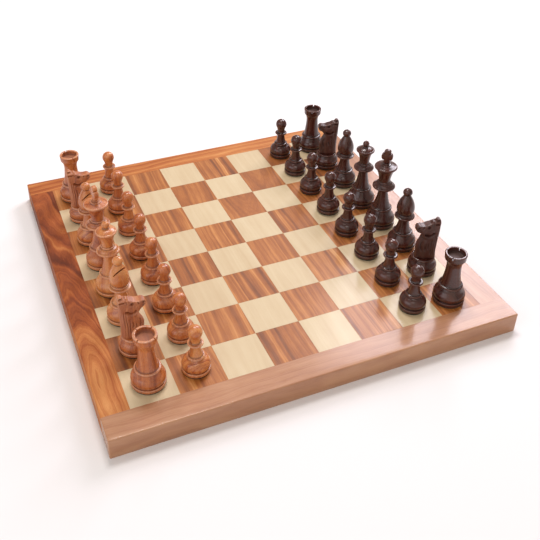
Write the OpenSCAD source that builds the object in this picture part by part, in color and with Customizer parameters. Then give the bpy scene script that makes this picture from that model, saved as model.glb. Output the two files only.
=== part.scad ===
// Chess set: a flat framed board with 64 inlaid squares and 32 turned wooden chessmen.
// Origin: centre of the board's underside. +X runs from the light side to the dark side,
// +Y runs from the h file to the a file, +Z is up.

/* [Board] */
// Side of one square
square = 45; // [40:0.5:60]
// Width of the plain border rail around the squares
rail_w = 26; // [20:0.5:40]
// Full thickness of the board
board_t = 22; // [16:0.5:30]
// Thickness of the inlaid squares
inlay_t = 1; // [0.8:0.1:3]
// Glue line left between neighbouring inlaid squares
glue_gap = 0.05; // [0.02:0.01:0.2]
// Eased edge of the rails
rail_ease = 0.8; // [0.3:0.1:2]

/* [Chessmen] */
// Foot radius of a pawn
pawn_foot_r = 13.3; // [12:0.1:14]
// Foot radius of a rook
rook_foot_r = 15.9; // [14:0.1:17]
// Foot radius of a knight
knight_foot_r = 15; // [14:0.1:16.5]
// Foot radius of a bishop
bishop_foot_r = 15.3; // [14:0.1:17]
// Foot radius of a queen
queen_foot_r = 16.1; // [15:0.1:18]
// Foot radius of a king
king_foot_r = 16.4; // [15:0.1:18]
// Thickness of the felt disc under each foot
felt_t = 1.4; // [1:0.1:2]
// How far the felt stays inside the foot
felt_inset = 0.9; // [0.5:0.1:2]

/* [Rook] */
// Height of a rook to its rim
rook_h = 58.9; // [56:0.1:62]
// Depth of the rook's turret cup
rook_cup_d = 5.4; // [3:0.1:7]
// Width of the saw cuts in the rook's rim
rook_slot_w = 1.1; // [0.8:0.1:2]

/* [Bishop] */
// Width of the bishop's mitre cut
mitre_slot_w = 1.2; // [0.8:0.1:2]
// Rise of the mitre cut above level, in degrees
mitre_slot_tilt = 55; // [40:1:65]
// How far from the mitre's axis the cut stops
mitre_slot_in = 2.1; // [1.5:0.1:4]

/* [King] */
// Width over the arms of the king's cross
cross_w = 12.6; // [10:0.1:14]
// Thickness of the king's cross
cross_t = 5.6; // [4:0.1:6.5]

/* [Knight] */
// Thickness of the knight's neck at its foot
neck_t = 17.2; // [15:0.1:20]
// Thickness of the knight's head at the ears
head_t = 8.2; // [7:0.1:11]

/* [Hidden] */
$fn = 72;

field = 8 * square;
side = field + 2 * rail_w;
top_z = board_t;

walnut = [0.55, 0.31, 0.18];
walnut_sq = [0.60, 0.36, 0.21];
maple = [0.91, 0.80, 0.60];
panel = [0.72, 0.60, 0.44];
light_wood = [0.66, 0.36, 0.19];
dark_wood = [0.20, 0.10, 0.08];

// The men stand by hand, so each one is a little off the middle of its square:
// [towards the dark side, towards the a file], h file first
off_wo = [[0.8, 0.7], [0.8, 1.0], [1.0, 0.8], [1.4, 0.8], [2.0, 0.5], [0.6, 0.3], [0.8, -0.2], [0.2, 0.8]];
off_wp = [[0, 0.2], [0.6, 0.6], [-0.4, 0.9], [0.2, 0.4], [0.2, -0.2], [-0.7, 0.1], [-0.7, 0.6], [0, 0.4]];
off_bp = [[1.0, -0.5], [-0.3, -0.5], [1.1, 0.6], [0.4, 0], [0.3, 0.1], [0, 0.5], [0, 0.2], [-0.2, 0.1]];
off_bo = [[-3.6, -3.6], [-3.2, 1.2], [-0.9, 0.7], [-1.6, 0.4], [-1.8, -0.2], [-0.6, 0.9], [-1.2, 1.2], [-0.5, 1.6]];

// Points on a cubic curve from a to d, leaving out a itself
function cubic(a, b, c, d, n = 8) = [for (i = [1:n]) let(t = i / n, s = 1 - t)
    s * s * s * a + 3 * s * s * t * b + 3 * s * t * t * c + t * t * t * d];
// Points on a circular arc, centre c, radius r, from angle a0 to a1
function arc(c, r, a0, a1, n = 8) = [for (i = [0:n]) let(a = a0 + (a1 - a0) * i / n) c + r * [cos(a), sin(a)]];

// Foot bead, groove, dome and skirt ring that every man stands on. rf is the foot radius, rr the
// ring radius, zr the height of the ring's lower edge, rs the radius of the stem just above it.
function pedestal(rf, rr, zr, rs) = concat(
    [[0, felt_t + 0.05], [rf - 1.1, felt_t + 0.05]],
    arc([rf - 1.1, felt_t + 1.15], 1.1, -90, 0, 4),
    arc([rf - 0.9, 4.1], 0.9, 0, 90, 4),
    [[rf - 1.35, 5.2], [rf - 1.35, 5.9]],
    cubic([rf - 1.35, 5.9], [rf + 0.55, 6.7], [rf + 0.45, 11.2], [rf - 2.2, 13.9], 8),
    cubic([rf - 2.2, 13.9], [rf - 3.5, 15.3], [rr - 0.4, zr - 2.2], [rr - 1.5, zr - 0.7], 5),
    [[rr - 0.5, zr - 0.7], [rr, zr], [rr - 0.1, zr + 0.8], [rr - 0.7, zr + 1.4], [rs + 0.3, zr + 1.7]]);

module felt(rf) cylinder(r = rf - felt_inset, h = felt_t);

module turned(profile, rf) {
    rotate_extrude() polygon(concat(profile, [[0, profile[len(profile) - 1][1]]]));
    felt(rf);
}

// Stand something on square i (0 to 7, light to dark side), j (0 to 7, h to a file)
module on_square(i, j, off) translate([-field / 2 + (i + 0.5) * square + off[0],
    -field / 2 + (j + 0.5) * square + off[1], top_z]) children();

// --- board -----------------------------------------------------------------
module rail_profile(w) polygon([[0, 0], [w - 0.5, 0], [w, 0.5], [w, board_t - rail_ease],
    [w - rail_ease, board_t], [0, board_t]]);

// A rail lying along X with its outer side towards -Y
module long_rail() translate([-side / 2, -field / 2, 0]) rotate([90, 0, 90])
    mirror([1, 0, 0]) linear_extrude(side) rail_profile(rail_w);

// A rail lying along Y with its outer side towards -X, fitted between the long rails
module short_rail() translate([-field / 2, field / 2, 0]) rotate([90, 0, 0])
    mirror([1, 0, 0]) linear_extrude(field) rail_profile(rail_w);

module inlay(parity) for (i = [0:7], j = [0:7]) if ((i + j) % 2 == parity)
    translate([-field / 2 + i * square + glue_gap / 2, -field / 2 + j * square + glue_gap / 2, board_t - inlay_t])
        cube([square - glue_gap, square - glue_gap, inlay_t]);

module board_core() color(panel) translate([-field / 2, -field / 2, 0]) cube([field, field, board_t - inlay_t]);
module rail_near() color(walnut) long_rail();
module rail_far() color(walnut) rotate(180) long_rail();
module rail_left() color(walnut) short_rail();
module rail_right() color(walnut) rotate(180) short_rail();
module light_squares() color(maple) inlay(0);
module dark_squares() color(walnut_sq) inlay(1);

// --- chessmen --------------------------------------------------------------
module pawn() turned(concat(pedestal(pawn_foot_r, 8.4, 17.8, 6.4),
    cubic([6.4, 19.8], [5.4, 23.0], [4.6, 27.0], [4.5, 31.6], 7),
    [[5.9, 32.1]], arc([6.1, 33.2], 0.9, -70, 90, 5), [[5.3, 34.3], [4.7, 35.0]],
    cubic([4.7, 35.0], [4.4, 37.4], [4.9, 40.0], [6.13, 42.7], 6),
    arc([0, 45.5], 6.75, -24.5, 88, 12)), pawn_foot_r);

module rook(turn) difference() {
    turned(concat(pedestal(rook_foot_r, 12.2, 19.8, 10.0),
        cubic([10.0, 21.8], [8.7, 26.8], [7.6, 34.0], [7.3, 43.0], 8),
        cubic([7.3, 43.0], [7.3, 46.0], [8.1, 49.2], [9.7, 51.6], 6),
        [[10.3, 52.0], [10.5, 52.9], [10.6, 55.5], [10.9, rook_h - 1.0], [10.7, rook_h - 0.3], [10.2, rook_h]]), rook_foot_r);
    translate([0, 0, rook_h - rook_cup_d]) rotate_extrude() polygon([[0, 0], [7.6, 0], [8.1, 0.5],
        [8.3, rook_cup_d - 0.6], [8.9, rook_cup_d + 0.01], [8.9, rook_cup_d + 1], [0, rook_cup_d + 1]]);
    for (k = [0, 90]) rotate(turn + k) translate([-15, -rook_slot_w / 2, rook_h - 2.6])
        cube([30, rook_slot_w, 4]);
}

module bishop(turn) difference() {
    turned(concat(pedestal(bishop_foot_r, 10.9, 19.2, 8.6),
        cubic([8.6, 21.2], [6.8, 26.0], [5.5, 31.0], [5.3, 38.0], 8),
        [[8.2, 38.6]], arc([9.8, 40.0], 1.0, -70, 80, 5), [[9.0, 41.4], [8.6, 41.6], [8.5, 42.3], [7.9, 42.6], [7.4, 43.4]],
        cubic([7.4, 43.4], [10.6, 46.8], [10.1, 54.0], [6.7, 60.6], 9),
        cubic([6.7, 60.6], [5.3, 63.4], [4.1, 65.2], [3.5, 66.6], 5),
        [[3.6, 67.0]],
        cubic([3.6, 67.0], [5.8, 68.2], [5.4, 72.6], [2.4, 73.7], 7),
        [[1.2, 74.3], [0.5, 75.2]]), bishop_foot_r);
    rotate(turn) translate([0, 0, 54.8]) rotate([0, -mitre_slot_tilt, 0])
        translate([mitre_slot_in, -12, -mitre_slot_w / 2]) cube([14, 24, mitre_slot_w]);
}

module queen() turned(concat(pedestal(queen_foot_r, 11.2, 21.6, 9.3),
    cubic([9.3, 23.6], [7.2, 29.5], [5.4, 37.5], [5.0, 47.0], 8),
    [[8.3, 48.0]], arc([10.2, 49.7], 1.3, -70, 60, 5),
    [[9.9, 51.4], [9.0, 52.5], [8.7, 52.8], [8.5, 53.4], [6.8, 54.2], [6.5, 54.5], [6.6, 55.2], [6.2, 55.7], [5.6, 56.1]],
    cubic([5.6, 56.1], [5.7, 61.6], [6.7, 67.4], [9.0, 71.1], 8),
    arc([9.1, 72.6], 1.3, -40, 90, 5),
    cubic([9.1, 73.9], [7.5, 75.3], [5.4, 76.2], [3.3, 76.6], 5),
    [[2.9, 77.1]], arc([0, 80.5], 3.7, -42, 70, 9), [[0.7, 84.4], [0.3, 84.9]]), queen_foot_r);

module king() turned(concat(pedestal(king_foot_r, 11.8, 22.6, 9.8),
    cubic([9.8, 24.6], [7.6, 31.0], [5.5, 39.0], [5.0, 48.2], 8),
    [[8.9, 49.3]], arc([11.1, 51.3], 1.4, -70, 60, 5),
    [[10.8, 53.0], [9.7, 54.3], [9.3, 54.6], [9.1, 55.2], [7.5, 56.2], [7.2, 56.5], [7.3, 57.2], [6.9, 57.7], [6.3, 58.1]],
    cubic([6.3, 58.1], [6.5, 64.0], [8.3, 70.2], [11.0, 74.5], 8),
    arc([11.1, 76.0], 1.4, -40, 90, 5),
    cubic([11.1, 77.4], [9.2, 77.8], [7.4, 78.5], [5.7, 78.9], 5),
    [[5.5, 79.6], [3.5, 80.1], [3.2, 80.9]]), king_foot_r);

// The cross of a king: four flared arms that almost meet, the upright ones longer
function arm(l, w, e) = [[-1.9, 0], [-2.3, 2.3], [-w, l - e], [-w + e, l], [w - e, l], [w, l - e], [2.3, 2.3], [1.9, 0]];
module cross_shape() {
    for (a = [-90, 90]) rotate(a) polygon(arm(cross_w / 2, 4.1, 0.7));
    polygon(arm(8.55, 4.0, 0.7));
    rotate(180) polygon(arm(8.05, 3.8, 1.2));
    square([4, 4], center = true);
}

module king_cross(turn) rotate(turn) translate([0, cross_t / 2, 80.95 + 8.05]) rotate([90, 0, 0])
    linear_extrude(cross_t) cross_shape();

// The knight's pedestal ends in a flat shoulder that carries the carved head
module knight_foot() turned(concat(pedestal(knight_foot_r, 12.2, 18.2, 10.5)), knight_foot_r);

// Side view of the carved head: x forward to the muzzle, y up
module head_side() polygon(concat(
    [[-11.6, 19.95], [-11.8, 27], [-12.0, 36], [-12.2, 44], [-12.3, 51.0], [-12.4, 56], [-12.6, 60.0], [-12.6, 62.6], [-12.0, 64.7],
     [-10.4, 65.8], [-8.6, 65.3], [-7.2, 63.8], [-6.2, 62.9], [-5.0, 63.5], [-3.8, 63.0], [-2.6, 61.4], [-0.8, 60.8], [1.6, 60.0]],
    cubic([1.6, 60.0], [4.2, 58.7], [6.6, 59.0], [8.8, 59.7], 5),
    arc([9.4, 56.1], 3.6, 78, -30, 8),
    [[12.0, 53.0], [11.0, 51.9], [9.4, 51.4]],
    cubic([9.4, 51.4], [8.2, 51.0], [7.4, 50.0], [6.6, 48.6], 4),
    cubic([6.6, 48.6], [5.6, 46.6], [4.6, 45.0], [4.0, 44.2], 4),
    cubic([4.0, 44.2], [6.2, 40.8], [10.4, 37.4], [10.6, 31.6], 6),
    [[10.0, 25.5], [9.0, 19.95]]));

// Front view of the carved head: wide at the shoulders, narrow at the brow
front_half = [[neck_t / 2 - 0.6, 19.9], [neck_t / 2, 24], [neck_t / 2 - 0.5, 34], [head_t / 2 + 2.9, 42], [head_t / 2 + 2.4, 50],
    [head_t / 2 + 1.8, 54], [head_t / 2 + 1.0, 57], [head_t / 2 + 0.2, 60], [head_t / 2 - 0.2, 63], [head_t / 2 - 0.4, 67]];
module head_front() polygon(concat([for (p = front_half) p], [for (i = [len(front_half) - 1:-1:0]) [-front_half[i][0], front_half[i][1]]]));

// Plan view of the carved head: rounded mane, full shoulders, narrow muzzle
plan_half = [[-12.9, 2.2], [-12.2, 4.3], [-11.0, 6.0], [-9.4, 7.3], [-7.0, 8.3], [-4, 8.9], [0, 8.9], [5, 6.2], [9, 4.5], [12.2, 3.5], [13.3, 2.2]];
module head_plan() polygon(concat([for (p = plan_half) p], [for (i = [len(plan_half) - 1:-1:0]) [plan_half[i][0], -plan_half[i][1]]]));

module knight_head(turn) rotate(turn) difference() {
    intersection() {
        rotate([90, 0, 0]) translate([0, 0, -13]) linear_extrude(26) head_side();
        rotate([90, 0, 90]) translate([0, 0, -17]) linear_extrude(34) head_front();
        translate([0, 0, 19.9]) linear_extrude(48) head_plan();
    }
    for (s = [-1, 1]) {
        // ears and forelock stand as a narrow crest
        translate([-14, s > 0 ? 2.3 : -12.3, 62.4]) cube([12.4, 10, 8]);
        // eye, nostril and the hollow of the ear
        translate([0.3, s * 3.4, 57.5]) rotate([-s * 90, 0, 0]) cylinder(r = 1.3, h = 6);
        translate([10.6, s * 2.6, 57.2]) rotate([-s * 90, 0, 0]) cylinder(r = 0.9, h = 6);
        translate([-9.5, s * 1.4, 63.9]) rotate([-s * 90, 0, 0]) cylinder(r = 1.2, h = 6);
        // slot under the lip of the ear
        translate([-11.3, s > 0 ? 3.1 : -7.1, 59.3]) cube([5.0, 4, 1.1]);
        // deep cut behind the cheek
        translate([-0.8, s * 4.8, 52.8]) rotate([-s * 90, 0, 0]) difference() {
            cylinder(r = 5.8, h = 8);
            translate([0, 0, -1]) cylinder(r = 4.4, h = 10);
            translate([-10, s > 0 ? -13.4 : 1.4, -1]) cube([20, 12, 10]);
        }
        // mane cuts
        for (k = [0:3]) translate([-11.0 + 2.1 * k, s * [6.35, 7.6, 7.95, 8.05][k], 22]) cylinder(r = 0.7, h = 27);
    }
}

// --- the men on their squares ------------------------------------------------
module white_rook_h() color(light_wood) on_square(0, 0, off_wo[0]) rook(36);
module white_knight_g() color(light_wood) on_square(0, 1, off_wo[1]) knight_foot();
module white_knight_g_head() color(light_wood) on_square(0, 1, off_wo[1]) knight_head(-4);
module white_bishop_f() color(light_wood) on_square(0, 2, off_wo[2]) bishop(-61);
module white_queen() color(light_wood) on_square(0, 3, off_wo[3]) queen();
module white_king() color(light_wood) on_square(0, 4, off_wo[4]) king();
module white_king_cross() color(light_wood) on_square(0, 4, off_wo[4]) king_cross(-84);
module white_bishop_c() color(light_wood) on_square(0, 5, off_wo[5]) bishop(-57);
module white_knight_b() color(light_wood) on_square(0, 6, off_wo[6]) knight_foot();
module white_knight_b_head() color(light_wood) on_square(0, 6, off_wo[6]) knight_head(-6);
module white_rook_a() color(light_wood) on_square(0, 7, off_wo[7]) rook(12);
module white_pawn_h() color(light_wood) on_square(1, 0, off_wp[0]) pawn();
module white_pawn_g() color(light_wood) on_square(1, 1, off_wp[1]) pawn();
module white_pawn_f() color(light_wood) on_square(1, 2, off_wp[2]) pawn();
module white_pawn_e() color(light_wood) on_square(1, 3, off_wp[3]) pawn();
module white_pawn_d() color(light_wood) on_square(1, 4, off_wp[4]) pawn();
module white_pawn_c() color(light_wood) on_square(1, 5, off_wp[5]) pawn();
module white_pawn_b() color(light_wood) on_square(1, 6, off_wp[6]) pawn();
module white_pawn_a() color(light_wood) on_square(1, 7, off_wp[7]) pawn();
module black_pawn_h() color(dark_wood) on_square(6, 0, off_bp[0]) pawn();
module black_pawn_g() color(dark_wood) on_square(6, 1, off_bp[1]) pawn();
module black_pawn_f() color(dark_wood) on_square(6, 2, off_bp[2]) pawn();
module black_pawn_e() color(dark_wood) on_square(6, 3, off_bp[3]) pawn();
module black_pawn_d() color(dark_wood) on_square(6, 4, off_bp[4]) pawn();
module black_pawn_c() color(dark_wood) on_square(6, 5, off_bp[5]) pawn();
module black_pawn_b() color(dark_wood) on_square(6, 6, off_bp[6]) pawn();
module black_pawn_a() color(dark_wood) on_square(6, 7, off_bp[7]) pawn();
module black_rook_h() color(dark_wood) on_square(7, 0, off_bo[0]) rook(36);
module black_knight_g() color(dark_wood) on_square(7, 1, off_bo[1]) knight_foot();
module black_knight_g_head() color(dark_wood) on_square(7, 1, off_bo[1]) knight_head(167);
module black_bishop_f() color(dark_wood) on_square(7, 2, off_bo[2]) bishop(118);
module black_king() color(dark_wood) on_square(7, 3, off_bo[3]) king();
module black_king_cross() color(dark_wood) on_square(7, 3, off_bo[3]) king_cross(-40);
module black_queen() color(dark_wood) on_square(7, 4, off_bo[4]) queen();
module black_bishop_c() color(dark_wood) on_square(7, 5, off_bo[5]) bishop(64);
module black_knight_b() color(dark_wood) on_square(7, 6, off_bo[6]) knight_foot();
module black_knight_b_head() color(dark_wood) on_square(7, 6, off_bo[6]) knight_head(165);
module black_rook_a() color(dark_wood) on_square(7, 7, off_bo[7]) rook(58);

board_core();
rail_near();
rail_far();
rail_left();
rail_right();
light_squares();
dark_squares();
white_rook_h();
white_knight_g();
white_knight_g_head();
white_bishop_f();
white_queen();
white_king();
white_king_cross();
white_bishop_c();
white_knight_b();
white_knight_b_head();
white_rook_a();
white_pawn_h();
white_pawn_g();
white_pawn_f();
white_pawn_e();
white_pawn_d();
white_pawn_c();
white_pawn_b();
white_pawn_a();
black_pawn_h();
black_pawn_g();
black_pawn_f();
black_pawn_e();
black_pawn_d();
black_pawn_c();
black_pawn_b();
black_pawn_a();
black_rook_h();
black_knight_g();
black_knight_g_head();
black_bishop_f();
black_king();
black_king_cross();
black_queen();
black_bishop_c();
black_knight_b();
black_knight_b_head();
black_rook_a();
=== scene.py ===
import math

import bmesh
import bpy
import numpy as np
from mathutils import Matrix, Vector


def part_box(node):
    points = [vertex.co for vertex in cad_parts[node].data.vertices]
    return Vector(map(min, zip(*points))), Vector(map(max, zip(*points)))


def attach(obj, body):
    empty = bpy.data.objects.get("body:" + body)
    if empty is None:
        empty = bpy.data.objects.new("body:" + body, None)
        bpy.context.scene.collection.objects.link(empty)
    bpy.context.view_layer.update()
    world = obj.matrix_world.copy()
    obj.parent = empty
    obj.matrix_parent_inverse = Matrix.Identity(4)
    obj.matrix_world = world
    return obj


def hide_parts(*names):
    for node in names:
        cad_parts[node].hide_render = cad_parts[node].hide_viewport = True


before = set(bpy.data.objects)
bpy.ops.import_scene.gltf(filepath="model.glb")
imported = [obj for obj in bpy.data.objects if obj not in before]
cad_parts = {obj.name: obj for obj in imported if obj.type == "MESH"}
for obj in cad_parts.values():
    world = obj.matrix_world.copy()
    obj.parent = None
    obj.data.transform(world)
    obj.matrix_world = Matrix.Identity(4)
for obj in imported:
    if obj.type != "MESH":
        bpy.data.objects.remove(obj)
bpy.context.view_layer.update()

scene = bpy.context.scene
scene.view_settings.view_transform = "Standard"
MM = 0.001

# ---------------------------------------------------------------- sizes, all read from the frame
core_lo, core_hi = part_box("board_core")
FIELD = core_hi.x - core_lo.x
SQ = FIELD / 8
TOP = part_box("light_squares")[1].z
side_lo, side_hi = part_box("rail_near")


def axis_of(node):
    """The upright axis of a turned piece, from its CAD box."""
    lo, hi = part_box(node)
    return (lo.x + hi.x) / 2, (lo.y + hi.y) / 2


# ---------------------------------------------------------------- node materials
class Nodes:
    def __init__(self, name):
        self.mat = bpy.data.materials.new(name)
        self.mat.use_nodes = True
        self.t = self.mat.node_tree
        self.t.nodes.clear()
        self.out = self.t.nodes.new("ShaderNodeOutputMaterial")
        self.bsdf = self.t.nodes.new("ShaderNodeBsdfPrincipled")
        self.t.links.new(self.bsdf.outputs[0], self.out.inputs[0])

    def new(self, kind, **props):
        n = self.t.nodes.new("ShaderNode" + kind)
        for k, v in props.items():
            setattr(n, k, v)
        return n

    def put(self, value, socket):
        if isinstance(value, bpy.types.NodeSocket):
            self.t.links.new(value, socket)
        else:
            socket.default_value = value

    def math(self, op, a, b=0.0, c=0.0, clamp=False):
        n = self.new("Math", operation=op, use_clamp=clamp)
        self.put(a, n.inputs[0])
        self.put(b, n.inputs[1])
        self.put(c, n.inputs[2])
        return n.outputs[0]

    def vmath(self, op, a, b=(0, 0, 0)):
        n = self.new("VectorMath", operation=op)
        self.put(a, n.inputs[0])
        self.put(b, n.inputs[1])
        return n.outputs["Value"] if op in ("LENGTH", "DOT_PRODUCT") else n.outputs["Vector"]

    def attr(self, name, out="Fac"):
        return self.new("Attribute", attribute_name=name).outputs[out]

    def noise(self, vec, scale=1.0, detail=2.0, rough=0.5, out=0, lac=2.0):
        n = self.new("TexNoise")
        self.put(vec, n.inputs["Vector"])
        n.inputs["Scale"].default_value = scale
        n.inputs["Detail"].default_value = detail
        n.inputs["Roughness"].default_value = rough
        n.inputs["Lacunarity"].default_value = lac
        return n.outputs[out]

    def noise1(self, w, scale=1.0, detail=2.0, rough=0.5):
        n = self.new("TexNoise", noise_dimensions="1D")
        self.put(w, n.inputs["W"])
        n.inputs["Scale"].default_value = scale
        n.inputs["Detail"].default_value = detail
        n.inputs["Roughness"].default_value = rough
        return n.outputs[0]

    def fit(self, v, a, b, c=0.0, d=1.0, smooth=False):
        """v from a..b onto c..d, held at the ends."""
        n = self.new("MapRange", clamp=True)
        if smooth:
            n.interpolation_type = "SMOOTHSTEP"
        self.put(v, n.inputs["Value"])
        for key, val in (("From Min", a), ("From Max", b), ("To Min", c), ("To Max", d)):
            self.put(val, n.inputs[key])
        return n.outputs["Result"]

    def ramp(self, fac, stops, interp="LINEAR"):
        n = self.new("ValToRGB")
        n.color_ramp.interpolation = interp
        while len(n.color_ramp.elements) < len(stops):
            n.color_ramp.elements.new(0.5)
        for e, (at, col) in zip(n.color_ramp.elements, stops):
            e.position = at
            e.color = (*col, 1.0)
        self.put(fac, n.inputs["Fac"])
        return n.outputs["Color"]

    def mix(self, fac, a, b, mode="MIX"):
        n = self.new("Mix", data_type="RGBA", blend_type=mode)
        self.put(fac, n.inputs["Factor"])
        self.put(a if isinstance(a, bpy.types.NodeSocket) else (*a, 1.0), n.inputs[6])
        self.put(b if isinstance(b, bpy.types.NodeSocket) else (*b, 1.0), n.inputs[7])
        return n.outputs[2]

    def bump(self, height, distance, strength=1.0, normal=None):
        n = self.new("Bump")
        n.inputs["Strength"].default_value = strength
        n.inputs["Distance"].default_value = distance
        self.put(height, n.inputs["Height"])
        if normal is not None:
            self.put(normal, n.inputs["Normal"])
        return n.outputs["Normal"]


def srgb(r, g, b):
    """Linear colour from 0..255 sRGB."""
    return tuple(((c / 255 + 0.055) / 1.055) ** 2.4 if c > 10 else c / 255 / 12.92 for c in (r, g, b))


def wood(name, palette, band=6.0, fine=1.3, wander=2.0, fibre=0.2, pores=0.3, pore_col=(0.1, 0.04, 0.02), rough=(0.34, 0.46), coat=0.35, coat_rough=0.16, contrast=1.0, wear_and_highlight=0.3, edge_col=None, painted_shade_col=None, dull_col=None, bump=0.00006, ior=1.5, lines=1.0):
    """Sawn or turned wood. Attribute gc holds grain coordinates in mm, with the grain along its z and the heart of the tree at its x = y = 0."""
    n = Nodes(name)
    gc = n.attr("gc", "Vector")
    tone, streak = n.attr("tone"), n.attr("streak")
    # the grain wanders slowly along its length, with a smaller, quicker wander on top
    slow = n.noise(n.vmath("MULTIPLY", gc, (0.035, 0.035, 0.011)), 1.0, 2.0, 0.5, out=1)
    mid = n.noise(n.vmath("MULTIPLY", gc, (0.16, 0.16, 0.03)), 1.0, 2.0, 0.5, out=1)
    off = n.vmath("MULTIPLY", n.vmath("SUBTRACT", slow, (0.5, 0.5, 0.5)), (wander * 5, wander * 5, 0))
    off2 = n.vmath("MULTIPLY", n.vmath("SUBTRACT", mid, (0.5, 0.5, 0.5)), (wander, wander, 0))
    p = n.vmath("ADD", n.vmath("ADD", gc, off), off2)
    r = n.vmath("LENGTH", n.vmath("MULTIPLY", p, (1, 1, 0)))
    broad = n.noise1(r, 1.0 / band, 2.0, 0.55)
    narrow = n.noise1(n.math("ADD", r, 211.0), 1.0 / fine, 2.0, 0.6)
    fib = n.noise(n.vmath("MULTIPLY", gc, (1.6, 1.6, 0.05)), 1.0, 3.0, 0.6)
    patch = n.noise(n.vmath("MULTIPLY", gc, (0.07, 0.07, 0.025)), 1.0, 2.0, 0.5)
    v = n.math("MULTIPLY", n.math("SUBTRACT", broad, 0.5), 1.9 * contrast)
    v = n.math("MULTIPLY_ADD", n.math("SUBTRACT", narrow, 0.5), 0.95 * contrast * lines, v)
    v = n.math("MULTIPLY", v, streak)
    v = n.math("MULTIPLY_ADD", n.math("SUBTRACT", fib, 0.5), fibre * 2, v)
    v = n.math("MULTIPLY_ADD", n.math("SUBTRACT", patch, 0.5), 0.35, v)
    v = n.math("ADD", n.math("ADD", v, 0.5), n.math("SUBTRACT", tone, 0.5), clamp=True)
    col = n.ramp(v, palette)
    # open pores, short and dark along the grain
    por = n.noise(n.vmath("MULTIPLY", gc, (3.2, 3.2, 0.13)), 1.0, 2.0, 0.55)
    por = n.fit(por, 0.57, 0.72, 0, 1)
    col = n.mix(n.math("MULTIPLY", por, pores), col, pore_col)
    # rounded edges are paler, partly from handling and partly a painted highlight; hollows and grooves are darkened
    # with painted shade
    w, painted_shade = n.attr("wear_and_highlight"), n.attr("painted_shade")
    speck = n.noise(n.vmath("MULTIPLY", gc, (0.5, 0.5, 0.3)), 1.0, 2.0, 0.6)
    wf = n.math("MULTIPLY", n.math("MULTIPLY", w, n.fit(speck, 0.3, 0.7, 0.35, 1.0)), wear_and_highlight)
    col = n.mix(wf, col, edge_col or palette[-1][1])
    col = n.mix(n.math("MULTIPLY", painted_shade, 0.55), col, painted_shade_col or palette[0][1])
    if dull_col:
        col = n.mix(n.math("MULTIPLY", n.attr("dull"), 0.6), col, dull_col)
    n.put(col, n.bsdf.inputs["Base Color"])
    rn = n.noise(n.vmath("MULTIPLY", gc, (0.25, 0.25, 0.12)), 1.0, 3.0, 0.6)
    rr = n.math("ADD", n.fit(rn, 0.3, 0.7, *rough), n.math("MULTIPLY", por, 0.12))
    rr = n.math("MULTIPLY_ADD", n.attr("dull"), 0.45, rr, clamp=True)
    n.put(rr, n.bsdf.inputs["Roughness"])
    h = n.math("MULTIPLY_ADD", por, -1.0, n.math("MULTIPLY", fib, 0.5))
    n.put(n.bump(h, bump, 0.6), n.bsdf.inputs["Normal"])
    n.bsdf.inputs["IOR"].default_value = ior
    n.bsdf.inputs["Coat Weight"].default_value = coat
    n.bsdf.inputs["Coat Roughness"].default_value = coat_rough
    return n.mat


WALNUT = [
    (0.02, srgb(88, 44, 18)),
    (0.25, srgb(125, 68, 26)),
    (0.48, srgb(162, 94, 37)),
    (0.72, srgb(192, 125, 62)),
    (0.98, srgb(215, 158, 98)),
]
RAIL = [
    (0.02, srgb(117, 68, 43)),
    (0.3, srgb(149, 96, 64)),
    (0.5, srgb(169, 116, 80)),
    (0.75, srgb(186, 137, 99)),
    (0.98, srgb(201, 158, 123)),
]
RED_RAIL = [
    (0.02, srgb(88, 36, 14)),
    (0.3, srgb(128, 60, 25)),
    (0.5, srgb(158, 82, 36)),
    (0.75, srgb(190, 120, 64)),
    (0.98, srgb(210, 148, 88)),
]
MAPLE = [
    (0.02, srgb(176, 145, 106)),
    (0.3, srgb(196, 172, 135)),
    (0.55, srgb(206, 186, 150)),
    (0.8, srgb(213, 196, 163)),
    (0.98, srgb(219, 206, 175)),
]
LIGHT_MEN = [
    (0.02, srgb(116, 53, 23)),
    (0.28, srgb(156, 79, 38)),
    (0.5, srgb(186, 105, 52)),
    (0.74, srgb(206, 133, 72)),
    (0.98, srgb(220, 162, 99)),
]
DARK_MEN = [
    (0.02, srgb(38, 16, 11)),
    (0.3, srgb(56, 23, 17)),
    (0.55, srgb(72, 31, 22)),
    (0.8, srgb(90, 40, 28)),
    (0.98, srgb(108, 51, 35)),
]
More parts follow.
